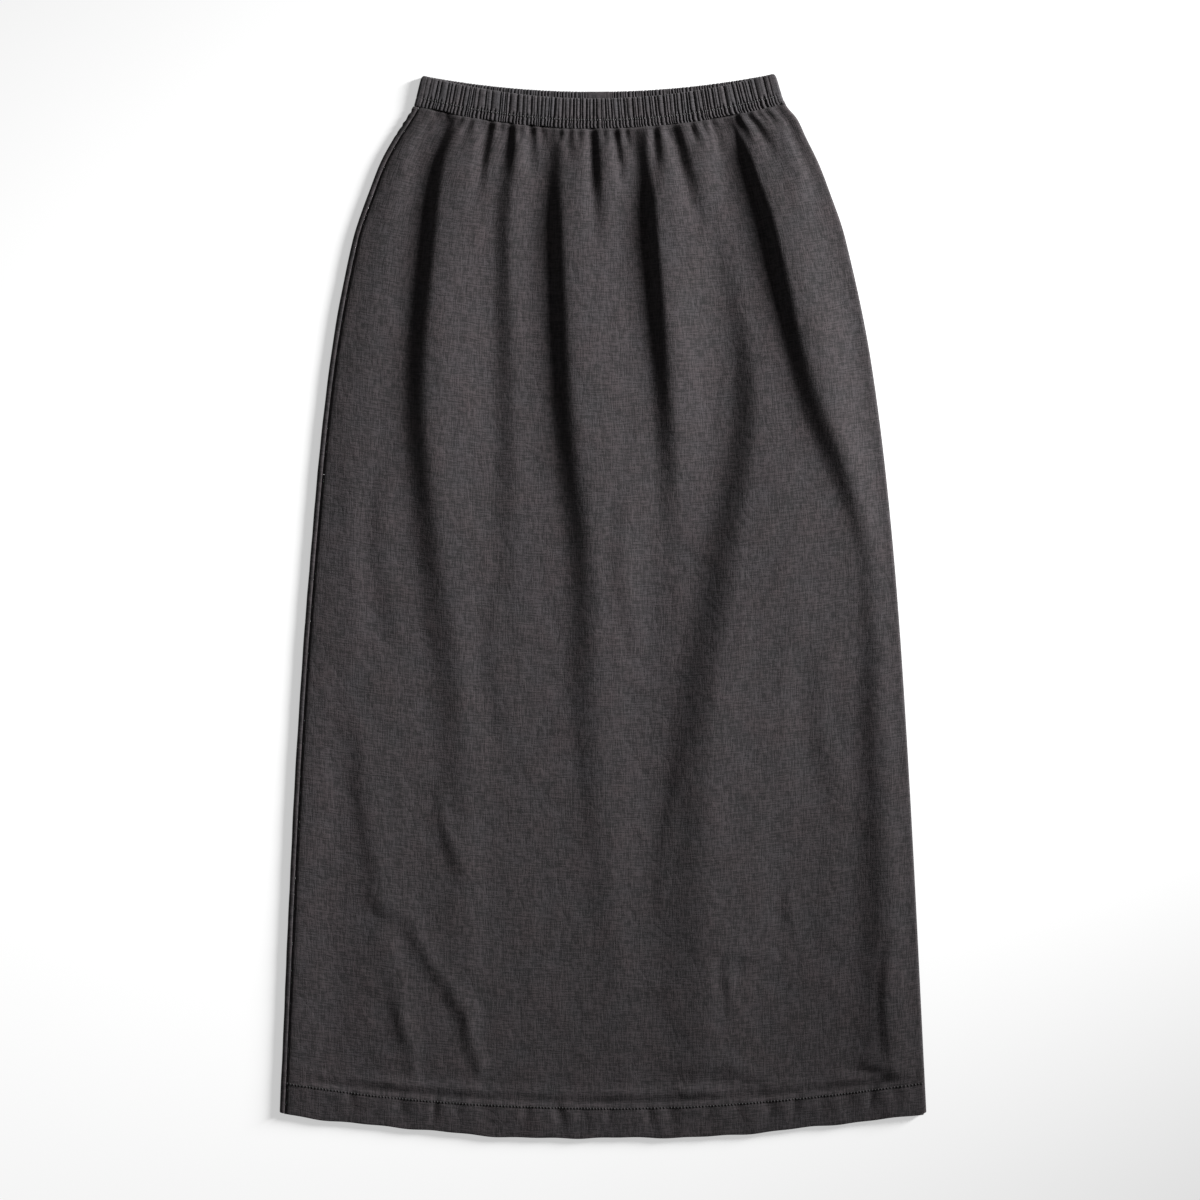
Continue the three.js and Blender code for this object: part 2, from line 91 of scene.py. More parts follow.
# %% [markdown]
# ## Helpers for smooth tables
#
# A fold is easier to describe with a few stations than with a formula, so short tables say where it lies and
# how deep it is at some distances below the band. `follow` draws a smooth curve through such a table. It
# works on whole arrays of points at once, because a panel has tens of thousands of them.

# %% Follow a table
def follow(stations, values, at):
    """Smooth curve through values at stations, for an array of places."""
    stations = np.asarray(stations, float)
    values = np.asarray(values, float)
    at = np.clip(at, stations[0], stations[-1])
    slopes = np.empty_like(values)
    slopes[1:-1] = (values[2:] - values[:-2]) / (stations[2:] - stations[:-2])
    slopes[0] = (values[1] - values[0]) / (stations[1] - stations[0])
    slopes[-1] = (values[-1] - values[-2]) / (stations[-1] - stations[-2])
    i = np.clip(np.searchsorted(stations, at, side="right") - 1, 0, len(stations) - 2)
    span = stations[i + 1] - stations[i]
    t = (at - stations[i]) / span
    near = (2 * t**3 - 3 * t**2 + 1) * values[i] + (t**3 - 2 * t**2 + t) * span * slopes[i]
    far = (3 * t**2 - 2 * t**3) * values[i + 1] + (t**3 - t**2) * span * slopes[i + 1]
    return near + far


def smooth(value, low, high):
    """0 below low, 1 above high, and an even rise between."""
    t = np.clip((value - low) / (high - low), 0, 1)
    return t * t * (3 - 2 * t)


def left_edge(below):
    return -follow(OUTLINE["below"], OUTLINE["left"], below)


def right_edge(below):
    return follow(OUTLINE["below"], OUTLINE["right"], below)


def across(x, below):
    """-1 at the left edge of the skirt, 1 at the right one."""
    return 2 * (x - left_edge(below)) / (right_edge(below) - left_edge(below)) - 1


def level(x, below, waist_dip, hem_sag):
    """The y of a thread that lies so far below the band, in millimetres."""
    s = across(x, below)
    share = np.clip(below / PANEL_LENGTH, 0, 1)
    bow = waist_dip + (hem_sag - waist_dip) * share
    return WAIST_Y + WAIST_TILT * s * (1 - share) - BAND_DEPTH - below - bow * (1 - s * s)


print("width at the hem:", round(float(right_edge(905.0) - left_edge(905.0)), 1), "mm")

# %% [markdown]
# ## The folds of the front
#
# Linen that is gathered into a narrow band stands up in long, soft folds that fan out and die away towards
# the hem. In this skirt seven of them are long. Each has a shallow slope on its left and a steep flank on its
# right, and the steep flanks face away from the light. Between them some thirty short gathers start at the
# band. These tables hold each fold's course, depth and steepness, so they can be as uneven as the real
# ones. A simulation would drape them in its own places.

# %% Tables of folds
STATIONS = (0, 40, 100, 250, 400, 550, 800)
FOLDS = {
    "outer left": dict(
        x=(-141, -156, -165, -180, -171, -160, -166),
        depth=(5.4, 8.0, 9.2, 9.0, 7.6, 6.2, 3.6),
        left=38,
        right=12,
        lean=2.5,
    ),
    "inner left": dict(
        x=(-90, -94, -99, -100, -103, -106, -110),
        depth=(1.8, 3.4, 5.0, 4.4, 3.2, 2.2, 1.2),
        left=24,
        right=10,
        lean=0.0,
    ),
    "middle": dict(
        x=(-49, -52, -51, -48, -37, -43, -36),
        depth=(3.6, 5.6, 9.6, 10.4, 9.0, 8.6, 5.6),
        left=38,
        right=13,
        lean=4.0,
    ),
    "inner right": dict(
        x=(27, 32, 36, 44, 42, 21, 19),
        depth=(3.4, 6.6, 10.0, 7.8, 2.8, 0.0, 0.0),
        left=36,
        right=11,
        lean=3.0,
    ),
    "lower right": dict(
        x=(70, 80, 94, 108, 82, 50, 34),
        depth=(0.0, 0.0, 1.6, 8.2, 8.6, 7.6, 4.8),
        left=28,
        right=14,
        lean=0.0,
    ),
    "outer right": dict(
        x=(110, 122, 141, 173, 224, 224, 218),
        depth=(6.0, 9.4, 10.2, 6.8, 5.2, 7.0, 6.6),
        left=44,
        right=10.5,
        lean=3.0,
    ),
    "lower left": dict(
        x=(-200, -205, -215, -235, -248, -250, -228),
        depth=(0.0, 0.0, 0.0, 0.0, 0.6, 3.2, 4.6),
        left=22,
        right=10,
        lean=0.0,
    ),
}

# Short gathers: start under the band, drift to the side, length, depth, half width
GATHERS = (
    (-160.0, -1, 12, 1.4, 2.6),
    (-149.4, -4, 42, 3.4, 4.3),
    (-139.5, -2, 14, 1.8, 2.6),
    (-126.0, -1, 11, 1.2, 2.4),
    (-118.0, -1, 20, 1.8, 2.8),
    (-108.0, 0, 14, 1.8, 2.6),
    (-101.5, 1, 66, 4.8, 4.6),
    (-91.0, 1, 12, 1.4, 2.2),
    (-83.0, 2, 44, 3.7, 3.8),
    (-73.8, 1, 14, 1.6, 2.4),
    (-64.5, 3, 40, 4.5, 4.0),
    (-55.0, 2, 16, 1.9, 2.4),
    (-37.5, 1, 12, 1.4, 2.2),
    (-29.0, 0, 26, 2.3, 3.0),
    (-21.0, 0, 14, 1.8, 2.4),
    (-9.6, 3, 92, 4.5, 4.4),
    (1.0, 1, 14, 1.5, 2.2),
    (10.8, 6, 52, 3.8, 3.8),
    (20.7, 1, 16, 1.8, 2.4),
    (47.0, 1, 50, 3.7, 3.8),
    (56.8, 2, 16, 1.9, 2.6),
    (62.5, 16, 92, 4.3, 6.0),
    (79.0, 3, 20, 2.5, 2.8),
    (89.0, 3, 16, 1.9, 2.4),
    (97.5, 5, 30, 3.0, 3.2),
    (120.5, 5, 28, 3.0, 3.2),
    (130.5, 7, 36, 3.0, 3.6),
    (138.5, 3, 14, 1.4, 2.4),
    (145.0, 4, 18, 1.8, 2.6),
    (157.6, 0, 84, 4.4, 3.8),
)

CRESTS = dict(
    below=(0, 12, 40, 110, 260, 420, 600, 800, 905),
    height=(6.9, 7.7, 9.4, 12.2, 13.4, 12.0, 10.4, 8.6, 7.0),
)
VALLEY_FLOOR = 2.8  # the front lies at least this high, over the back
HEM_LAYERS = 5.2  # and this high over the two turned-up hems
print(len(FOLDS), "long folds,", len(GATHERS), "short gathers")

# %% [markdown]
# ## Small creases
#
# Washed linen also keeps small creases: slanting ones in the lower left, where the skirt was picked up,
# and short ones that run level just above the hem, where the stitching shortens the cloth. Each is a soft
# trough with a low ridge beside it. A row gives its two ends, how deep it is and how wide.

# %% Table of creases
# from (x, below) to (x, below), depth, half width
CREASES = (
    (-219, 704, -181, 728, 1.7, 8),
    (-184, 724, -146, 785, 2.2, 9),
    (-147, 784, -127, 808, 2.1, 8),
    (-133, 800, -119, 853, 2.1, 8),
    (-121, 851, -104, 868, 1.8, 7),
    (-197, 790, -182, 845, 2.2, 9),
    (-184, 845, -177, 872, 1.7, 8),
    (-162, 606, -134, 674, 1.5, 9),
    (-228, 568, -207, 700, 0.6, 9),
    (-272, 664, -246, 661, 0.8, 4),
    (-272, 763, -241, 762, 0.8, 4),
    (-268, 786, -244, 787, 1.0, 4),
    (-268, 866, -238, 868, 1.1, 4),
    (-108, 851, -58, 857, 2.2, 6),
    (-94, 867, 18, 869, 1.2, 4),
    (56, 850, 100, 852, 2.1, 6),
    (54, 858, 76, 873, 1.2, 4),
    (92, 850, 134, 860, 2.1, 6),
    (104, 846, 152, 869, 1.8, 6),
    (193, 864, 232, 869, 1.2, 4),
    (226, 858, 260, 865, 2.1, 5),
    (-90, 763, -38, 766, 1.4, 6),
    (-60, 716, -20, 722, 0.6, 5),
    (14, 782, 52, 773, 1.5, 6),
    (74, 737, 98, 747, 0.9, 4),
    (96, 744, 152, 760, 1.3, 6),
    (105, 752, 111, 792, 0.9, 5),
    (159, 688, 168, 742, 1.0, 6),
    (190, 747, 228, 755, 1.4, 6),
    (191, 772, 205, 800, 0.8, 5),
    (256, 742, 257, 860, 0.6, 4),
    (-30, 690, -26, 800, 0.6, 8),
    (60, 560, 40, 700, 0.8, 10),
    (180, 480, 200, 620, 0.8, 12),
    (-110, 420, -96, 560, 0.8, 10),
    (-210, 330, -196, 470, 0.7, 10),
    (10, 330, 24, 470, 0.6, 8),
)


def creases(x, below):
    """Height that the small creases add, for arrays of places on the front."""
    height = np.zeros_like(x)
    for x0, b0, x1, b1, depth, half in CREASES:
        run = math.hypot(x1 - x0, b1 - b0)
        along = ((x - x0) * (x1 - x0) + (below - b0) * (b1 - b0)) / run
        aside = ((x - x0) * (b1 - b0) - (below - b0) * (x1 - x0)) / run
        bend = aside + 0.06 * run * np.sin(math.pi * along / run)
        ends = smooth(along, -0.2 * run, 0.25 * run) * (1 - smooth(along, 0.75 * run, 1.2 * run))
        trough = -1.25 * np.exp(-((bend / half) ** 2)) + np.exp(-(((bend - 1.5 * half) / half) ** 2))
        height += depth * ends * trough
    return height


# %% [markdown]
# ## Where the front lies
#
# The height of the front is a crest height that falls from the hip to the hem, less the depth of the folds
# and gathers, plus low waves and creases. It never sinks below the back panel and the turned-up hems under
# it. The hem's stitching draws it into a trough with a low ridge above. Beside a steep fold the cloth also
# leans over the valley, which makes the dark line of the fold sharp.

# %% Height and lean of the front
def fanned(x, below):
    """Where a thread that starts at x under the band has fanned out to. The middle hardly fans."""
    left = left_edge(below) - left_edge(0.0)
    right = right_edge(below) - right_edge(0.0)
    share = np.where(x < 0, x / left_edge(0.0), x / right_edge(0.0))
    return x + np.where(x < 0, left, right) * share**2


def fold_shape(offset, left, right):
    """1 in the valley, a gentle slope on its left, a steep flank and a low lip on its right."""
    gentle = np.exp(-((offset / left) ** 2))
    flank = 1 - smooth(offset, 0, 1.5 * right)
    lip = 0.10 * np.exp(-(((offset - 1.7 * right) / (0.8 * right)) ** 2))
    return np.where(offset < 0, gentle, flank - lip)


def folds(x, below):
    """(depth, lean) of the long folds."""
    depth = np.zeros_like(x)
    lean = np.zeros_like(x)
    start = smooth(below, -8, 10)
    wider = 1 + (np.clip(below, 0, None) / 430) ** 1.3
    opened = 0.3 + 0.7 * smooth(below, 0, 130)
    for fold in FOLDS.values():
        offset = (x - follow(STATIONS, fold["x"], below)) / wider
        deep = follow(STATIONS, fold["depth"], below) * start
        depth += deep * fold_shape(offset, fold["left"] * opened, fold["right"])
        over = np.exp(-(((offset - 1.2 * fold["right"]) / (0.75 * fold["right"])) ** 2))
        lean += fold["lean"] * np.clip(deep / 9, 0, 1) * over
    return depth, lean


def gathers(x, below):
    depth = np.zeros_like(x)
    for at, drift, length, deep, half in GATHERS:
        share = below / length
        middle = fanned(np.array(float(at)), below) + drift * share
        swell = smooth(below, -6, 6) * (1 - smooth(share, 0.3, 1.35))
        width = half * (1 + 0.8 * share)
        offset = (x - middle) / width
        shape = np.where(offset < 0, np.exp(-(offset**2)), np.exp(-((offset / 0.75) ** 2)))
        depth += deep * swell * shape
    return depth


def soft_max(a, b, ease):
    return 0.5 * (a + b + np.hypot(a - b, ease))


# Where the hem puckers most, in millimetres across
PUCKERS = (-262, -227, -183, -150, -131, -105, -68, -40, -19, 8)
PUCKERS += (42, 60, 95, 121, 148, 173, 197, 219, 243, 264)


def hem_relief(x, below):
    """The dent of the stitching, the low ridge above it and puckers that slant to the hem's edge."""
    from_line = below - HEM_LINE
    dent = -0.35 * np.exp(-((from_line / 1.4) ** 2)) * (1 + 0.3 * np.sin(x / 5.3) * np.sin(x / 17))
    fullness = 0.35 * np.exp(-(((from_line - 9) / 7) ** 2))
    pushed_up = 1.9 + 0.7 * np.sin(x / 31 + 0.4) + 0.5 * np.sin(x / 11)
    fullness += pushed_up * np.exp(-(((from_line + 12.5) / 4.6) ** 2))
    along = np.exp(-(((from_line - 5) / 12) ** 2))
    puckers = np.zeros_like(x)
    for k, at in enumerate(PUCKERS):
        slant = (0.5 if k % 3 else -0.4) * from_line / 3
        puckers -= (0.9 + 0.4 * (k % 4)) * np.exp(-(((x - at - slant) / (3.4 + 1.7 * (k % 3))) ** 2))
    return dent + fullness + puckers * along * smooth(from_line, -12, 2)


def hem_waver(x, below):
    """How far the front's hem strays along y. The edge of a washed hem is never quite even."""
    stray = 0.7 * np.sin(x / 29 + 1.2) + 0.45 * np.sin(x / 12.5) + 0.3 * np.sin(x / 6.1 + 2)
    return stray * smooth(below, HEM_LINE, PANEL_LENGTH)


def front_height(x, below):
    """(height of the outer face over the table, lean to the left) in millimetres."""
    over_hem = smooth(below, HEM_LINE - 6, HEM_LINE)
    lowest = VALLEY_FLOOR + (HEM_LAYERS - VALLEY_FLOOR) * over_hem
    crest = follow(CRESTS["below"], CRESTS["height"], below)
    waves = 0.5 * np.sin(x / 37 + below / 120) + 0.4 * np.sin(x / 19 - below / 210)
    waves += 0.25 * np.sin(x / 11 + 1.3 * np.sin(below / 90)) * smooth(below, 60, 200)
    depth, lean = folds(x, below)
    sunk = 2.3 + 0.7 * np.sin(x / 23 + 0.6) + 0.5 * np.sin(x / 9.7)
    trough = sunk * np.exp(-(((below - HEM_LINE + 6) / 3.8) ** 2))
    folded = crest + waves - depth - gathers(x, below) - trough + creases(x, below)
    height = soft_max(folded, lowest, 1.0) + hem_relief(x, below)
    from_left = x - left_edge(below) - SEAM_INSET
    from_right = right_edge(below) - ROLL - x
    at_band = 1 - smooth(below, 30, 130)
    inner = smooth(from_left, 0, 44 - 20 * at_band)
    inner *= smooth(from_right, 0, 44 - 30 * at_band - 14 * smooth(below, 220, 400))
    ditch = 1.2 * np.exp(-((from_left / 2.2) ** 2))
    return 2 * ROLL + (height - 2 * ROLL) * inner - ditch, lean * inner


MIDDLE, FAR_DOWN = np.array([0.0]), np.array([100.0])
print("height in the middle, 100 mm down:", front_height(MIDDLE, FAR_DOWN)[0].round(2), "mm")

# %% [markdown]
# ## How a piece of cloth is made
#
# A grid has as many columns and rows as the cloth needs, and its own x and y say which column and row a
# vertex belongs to. `lay_out` adds such a grid, moves each vertex to its place on the table, and keeps the
# cloth's own coordinates as a UV map in metres, so that the weave follows the cloth and not the room.
# Solidify then gives the sheet the thickness of linen, towards the inside.

# %% Lay a grid out as cloth
CLOTH = 0.7  # linen drawn a little thick, so that its edges catch the light
CLEARANCE = 0.1  # the least height of any cloth over the table


def lay_out(name, columns, rows, place):
    """A grid of cloth. place(column, row) gives x, y, z and the cloth's own across and down, in mm."""
    bpy.ops.object.select_all(action="DESELECT")
    bpy.ops.mesh.primitive_grid_add(x_subdivisions=columns - 1, y_subdivisions=rows - 1, size=1)
    cloth = bpy.context.object
    cloth.name = name
    mesh = cloth.data
    mesh.name = name
    own = np.empty(len(mesh.vertices) * 3)
    mesh.vertices.foreach_get("co", own)
    own = own.reshape(-1, 3)
    column = np.rint((own[:, 0] + 0.5) * (columns - 1)).astype(int)
    row = np.rint((0.5 - own[:, 1]) * (rows - 1)).astype(int)
    x, y, z, thread_x, thread_y = place(column, row)
    mesh.vertices.foreach_set("co", np.column_stack((x, y, z)).ravel() * MM)
    corners = np.empty(len(mesh.loops), int)
    mesh.loops.foreach_get("vertex_index", corners)
    threads = np.column_stack((thread_x, thread_y))[corners] * MM
    mesh.uv_layers[0].name = "cloth"
    mesh.uv_layers["cloth"].data.foreach_set("uv", threads.ravel())
    mesh.update()
    bpy.ops.object.shade_smooth()
    return cloth


def thicken(cloth):
    """Gives the sheet its thickness, towards the inside, and keeps it out of the table."""
    wall = cloth.modifiers.new("wall", "SOLIDIFY")
    wall.thickness = CLOTH * MM
    wall.offset = -1
    wall.use_even_offset = False
    bpy.ops.object.modifier_apply(modifier=wall.name)
    places = np.empty(len(cloth.data.vertices) * 3)
    cloth.data.vertices.foreach_get("co", places)
    places[2::3] = np.maximum(places[2::3], (TABLE_Z + CLEARANCE) * MM)
    cloth.data.vertices.foreach_set("co", places)
    cloth.data.update()
    print(cloth.name, "has", sum(len(p.vertices) - 2 for p in cloth.data.polygons), "triangles")


def steps(start, *stretches):
    """Places down the cloth from a start on, in stretches of (end, step)."""
    places = [start]
    for end, step in stretches:
        count = max(1, round((end - places[-1]) / step))
        places.extend(np.linspace(places[-1], end, count + 1)[1:])
    return np.array(places)


# %% [markdown]
# ## The front panel
#
# The front panel is one piece of linen from the waist to the hem. At its left it goes down into the seam, at
# its right it rolls over the edge to the table, and at the hem it turns under and runs 27 mm back up inside,
# so panel and hem are one sheet, as they are when a hem is sewn. Its first rows dive into the waistband, so
# the gathers puff out over the band's edge. Its columns crowd together along the steep flanks, where the form
# changes fastest, and its rows crowd together under the band and at the hem.

# %% Rows and columns of the front
HEM_TURN = 0.9  # radius of the folded hem edge
FOLDED_AT = PANEL_LENGTH - HEM_TURN
FACE_ROWS = steps(-3.1, (30, 1.3), (120, 3.4), (855, 7.4), (873, 3.0), (883, 0.9), (FOLDED_AT, 2.6))
TURN_ANGLES = np.linspace(0, math.pi, 6)[1:]
TUCKED_ROWS = np.linspace(FOLDED_AT, HEM_LINE, 4)[1:]

# For each row: how far below the band it lies, and how far inside the outer face
ROW_BELOW = np.concatenate((FACE_ROWS, FOLDED_AT + HEM_TURN * np.sin(TURN_ANGLES), TUCKED_ROWS))
FACE_TUCK = np.zeros(len(FACE_ROWS))
INSIDE_TUCK = np.full(len(TUCKED_ROWS), 2 * HEM_TURN)
ROW_TUCK = np.concatenate((FACE_TUCK, HEM_TURN * (1 - np.cos(TURN_ANGLES)), INSIDE_TUCK))
ROW_THREAD = np.concatenate(
    (FACE_ROWS, PANEL_LENGTH + HEM_TURN * TURN_ANGLES, 2 * PANEL_LENGTH - TUCKED_ROWS)
)
FRONT_COLUMNS = 226
ROLL_ANGLES = np.linspace(0, math.pi, 10)[1:]
SEAM_DIVE = ((0.25, -2.4), (0.0, -1.1))  # the front goes down into the seam: shift across, height
CUT_WIDTH = (492.0, 600.0)  # width of each panel as it was cut, at the waist and at the hem


def crowd(columns, below):
    """Places across for one row, closer together on the flanks of the folds."""
    left = left_edge(below) + SEAM_INSET + GAP
    right = right_edge(below) - ROLL
    fine = np.linspace(left, right, 900)
    density = np.ones_like(fine)
    for fold in FOLDS.values():
        middle = float(follow(STATIONS, fold["x"], below))
        deep = float(follow(STATIONS, fold["depth"], below))
        density += min(deep / 5, 1.5) * np.exp(-(((fine - middle - 6) / 15) ** 2))
    reached = np.cumsum(density) - density[0]
    return np.interp(np.linspace(0, 1, columns), reached / reached[-1], fine)


def blended_level(x, below, to_front):
    """Level of a roll, between that of the back (0) and that of the front (1)."""
    waist = BACK_WAIST_DIP + (FRONT_WAIST_DIP - BACK_WAIST_DIP) * to_front
    hem = BACK_HEM_SAG + (FRONT_HEM_SAG - BACK_HEM_SAG) * to_front
    return level(x, below, waist, hem)


def cut_across(x, below):
    """The cloth's own place across, which is wider than the laid panel where it is gathered."""
    width = CUT_WIDTH[0] + (CUT_WIDTH[1] - CUT_WIDTH[0]) * below / PANEL_LENGTH
    return 0.5 * across(x, below) * width


def front_rows():
    """Tables of x, z and lean for every row and column of the front."""
    table = []
    for below in ROW_BELOW:
        x = crowd(FRONT_COLUMNS, below)
        height, lean = front_height(x, np.full_like(x, below))
        table.append((x, height, lean))
    return [np.array(part) for part in zip(*table)]


FRONT_X, FRONT_Z, FRONT_LEAN = front_rows()


def front_place(column, row):
    below = ROW_BELOW[row]
    tuck = ROW_TUCK[row]
    main = np.clip(column - len(SEAM_DIVE), 0, FRONT_COLUMNS - 1)
    x = FRONT_X[row, main] - FRONT_LEAN[row, main]
    z = FRONT_Z[row, main] - tuck - 1.3 * np.clip(-below, 0, 2) ** 1.3 - 0.5 * np.clip(-below - 2, 0, 2)
    y = level(FRONT_X[row, main], below, FRONT_WAIST_DIP, FRONT_HEM_SAG)
    y += hem_waver(FRONT_X[row, main], below)
    for k, (shift, drop) in enumerate(SEAM_DIVE):
        dive = column == k
        x[dive] += shift
        z[dive] += drop
    turn = column - len(SEAM_DIVE) - FRONT_COLUMNS
    rolled = turn >= 0
    angle = ROLL_ANGLES[np.clip(turn, 0, None)]
    radius = ROLL - tuck
    roll_x = right_edge(below) - ROLL + radius * np.sin(angle)
    roll_z = ROLL + radius * np.cos(angle)
    roll_y = blended_level(roll_x, below, 1 - angle / math.pi)
    x = np.where(rolled, roll_x, x)
    y = np.where(rolled, roll_y, y)
    z = np.where(rolled, roll_z, z)
    thread_x = cut_across(x, below) + np.where(rolled, ROLL * angle, 0)
    return x, y, TABLE_Z + lift_off_table(z), thread_x, ROW_THREAD[row]


LIFT = 0.35  # the lowest faces keep this much room for the stitches under them


def lift_off_table(z):
    """Squeezes the heights a little, so that 0 becomes LIFT and the rolls keep their height."""
    return np.where(z < 2 * ROLL, LIFT + z * (2 * ROLL - LIFT) / (2 * ROLL), z)


front_cloth = lay_out(
    "front_cloth", len(SEAM_DIVE) + FRONT_COLUMNS + len(ROLL_ANGLES), len(ROW_BELOW), front_place
)
thicken(front_cloth)
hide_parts("front_panel", "front_hem_turnup")
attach(front_cloth, "root")

# %% [markdown]
# ## The back panel
#
# The back panel lies flat on the table with its outer face down. At the left it rolls up over the edge and
# reaches 4 to 5 mm over the front, where the side seam pulls it down into a ditch, so its columns run from
# right to left. It gets the same folded hem, on the inside, which here is its upper face.

# %% Lay out the back
BACK_FLAT_COLUMNS = 90
BACK_ROLL_ANGLES = np.linspace(0, math.pi, 10)[1:]
STRIP = ((3.8, 5.95), (4.4, 5.5), (4.6, 4.4), (4.4, 3.1))  # over the front and down into the seam
BACK_FACE_ROWS = steps(0.0, (30, 2.5), (120, 5.0), (870, 11.0), (FOLDED_AT, 3.4))
BACK_BELOW = np.concatenate((BACK_FACE_ROWS, ROW_BELOW[len(FACE_ROWS) :]))
BACK_TUCK = np.concatenate((np.zeros(len(BACK_FACE_ROWS)), ROW_TUCK[len(FACE_ROWS) :]))
BACK_THREAD = np.concatenate((BACK_FACE_ROWS, ROW_THREAD[len(FACE_ROWS) :]))


def strip_gathers(below):
    """The strip along the left seam is gathered under the band, and puckers a little all the way down."""
    gathered = 0.7 * np.sin(below * 0.95) * (1 - smooth(below, 14, 34))
    return gathered + 0.12 * np.sin(below / 7 + 2 * np.sin(below / 60)) + 0.10 * np.sin(below / 23)


def back_place(column, row):
    below = BACK_BELOW[row]
    tuck = BACK_TUCK[row]
    right = right_edge(below) - ROLL - GAP
    left = left_edge(below) + ROLL
    x = right + (left - right) * np.clip(column / (BACK_FLAT_COLUMNS - 1), 0, 1)
    y = level(x, below, BACK_WAIST_DIP, BACK_HEM_SAG)
    z = tuck.copy()
    turn = column - BACK_FLAT_COLUMNS
    angle = BACK_ROLL_ANGLES[np.clip(turn, 0, len(BACK_ROLL_ANGLES) - 1)]
    rolled = turn >= 0
    pucker = strip_gathers(below) * np.sin(angle / 2)
    radius = ROLL - tuck
    x = np.where(rolled, left - (radius + pucker * np.sin(angle)) * np.sin(angle), x)
    z = np.where(rolled, ROLL - radius * np.cos(angle) + 0.5 * pucker, z)
    y = np.where(rolled, blended_level(x, below, angle / math.pi), y)
    for k, (inset, height) in enumerate(STRIP):
        on_strip = turn - len(BACK_ROLL_ANGLES) == k
        x[on_strip] = left_edge(below[on_strip]) + inset
        z[on_strip] = height - tuck[on_strip] + 0.4 * pucker[on_strip]
        y[on_strip] = blended_level(x[on_strip], below[on_strip], 1.0)
    thread_x = -cut_across(x, below) + np.where(rolled, ROLL * angle, 0)
    return x, y, TABLE_Z + lift_off_table(z), thread_x, BACK_THREAD[row]


back_cloth = lay_out(
    "back_cloth", BACK_FLAT_COLUMNS + len(BACK_ROLL_ANGLES) + len(STRIP), len(BACK_BELOW), back_place
)
thicken(back_cloth)
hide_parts("back_panel", "back_hem_turnup")
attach(back_cloth, "root")

# %% [markdown]
# ## The waistband
#
# The waistband is a strip of linen folded over an elastic. The elastic pulls it in, so the linen stands in
# narrow ribs with sharp grooves between them. A line of stitching holds the elastic's lower edge, and below
# it the ribs break up into finer ones. Lying flat, the band is a flattened ring. It starts as a grid too:
# its columns go round the waist, its rows go round the section of the band, and `remove_doubles` merges the
# sides that meet.

# %% Ribs
FRONT_RIBS, BACK_RIBS = 56, 64
BAND_WALL = 3.2
RIB_RELIEF = 2.2
STITCH_DOWN = 0.70  # the stitching lies at this share of the band's depth
JOIN_CENTRE, JOIN_WIDTH = -3.6, 21.0  # behind, where the ends of the elastic are joined, there are no ribs
BAND_WIDTH, LEFT_OF_MIDDLE = 334.9, 170.6  # as the relaxed band lies, and its share left of the middle


def rib_grooves(count):
    """Shares of the way across at which the grooves between uneven ribs lie."""
    i = np.arange(count)
    widths = 1 + 0.3 * np.sin(i * 2.4) + 0.2 * np.sin(i * 5.1 + 1)
    return np.concatenate(([0.0], np.cumsum(widths) / widths.sum()))


def split(grooves, at):
    """Every rib split into two uneven ones."""
    i = np.arange(len(grooves) - 1)
    inner = grooves[:-1] + np.diff(grooves) * (at + 0.09 * np.sin(i * 3.7))
    return np.sort(np.concatenate((grooves, inner)))


def groove_depth(share, grooves, seed, sharpness, least=0.5):
    """0 on top of a rib, up to 1 in a groove. Some grooves are shallow, as where two ribs lie close."""
    rng = np.random.default_rng(seed)
    deep = least + (1 - least) * rng.random(len(grooves))
    deep[[0, -1]] = 0.2
    i = np.clip(np.searchsorted(grooves, share, side="right") - 1, 0, len(grooves) - 2)
    t = (share - grooves[i]) / (grooves[i + 1] - grooves[i])
    rounded = 1 - np.sin(math.pi * np.clip(t, 0, 1)) ** sharpness
    return rounded * (deep[i] + (deep[i + 1] - deep[i]) * t)


MAIN_GROOVES = rib_grooves(FRONT_RIBS)
FINE_GROOVES = split(MAIN_GROOVES, 0.5)
BACK_GROOVES = split(rib_grooves(BACK_RIBS), 0.45)


def front_ribs(share, down):
    """Depth of the relief on the front, in mm: wide ribs above the stitching, fine ones below."""
    sway = 0.0022 * np.sin(19 * share) + 0.0014 * np.sin(53 * share + 1)
    leaning = share + sway * (down - 0.35)
    wide = groove_depth(leaning, MAIN_GROOVES, 3, 0.42)
    extra = groove_depth(leaning, split(MAIN_GROOVES, 0.42), 5, 0.5, least=0.0)
    wide = np.maximum(wide, 0.75 * extra)
    fine = groove_depth(leaning + 0.0006 * np.sin(31 * down), FINE_GROOVES, 8, 0.7)
    below = smooth(down, STITCH_DOWN - 0.16, STITCH_DOWN)
    return RIB_RELIEF * (wide * (1 - below) + 1.1 * fine * below)


def back_ribs(share, down):
    at_join = (share * BAND_WIDTH - LEFT_OF_MIDDLE - JOIN_CENTRE) / (JOIN_WIDTH / 2)
    gathered = smooth(np.abs(at_join), 0.95, 1.15)
    return 0.85 * RIB_RELIEF * groove_depth(share, BACK_GROOVES, 11, 0.55) * gathered


# %% [markdown]
# ## The band's section
#
# The section starts at the lower edge, goes up the inner face, over the folded top edge and down the outer
# face. The casing is full where the elastic lies, drawn in a little at the stitching and thinner below it,
# where only the seam allowances of the panels are inside.

# %% Lay the ring out
SECTION = 44  # vertices round one section
FRONT_STATIONS, END_STATIONS, BACK_STATIONS = 1000, 20, 560
RING = FRONT_STATIONS + END_STATIONS + BACK_STATIONS + END_STATIONS
BAND_RADIUS = BAND_WALL + GAP / 2


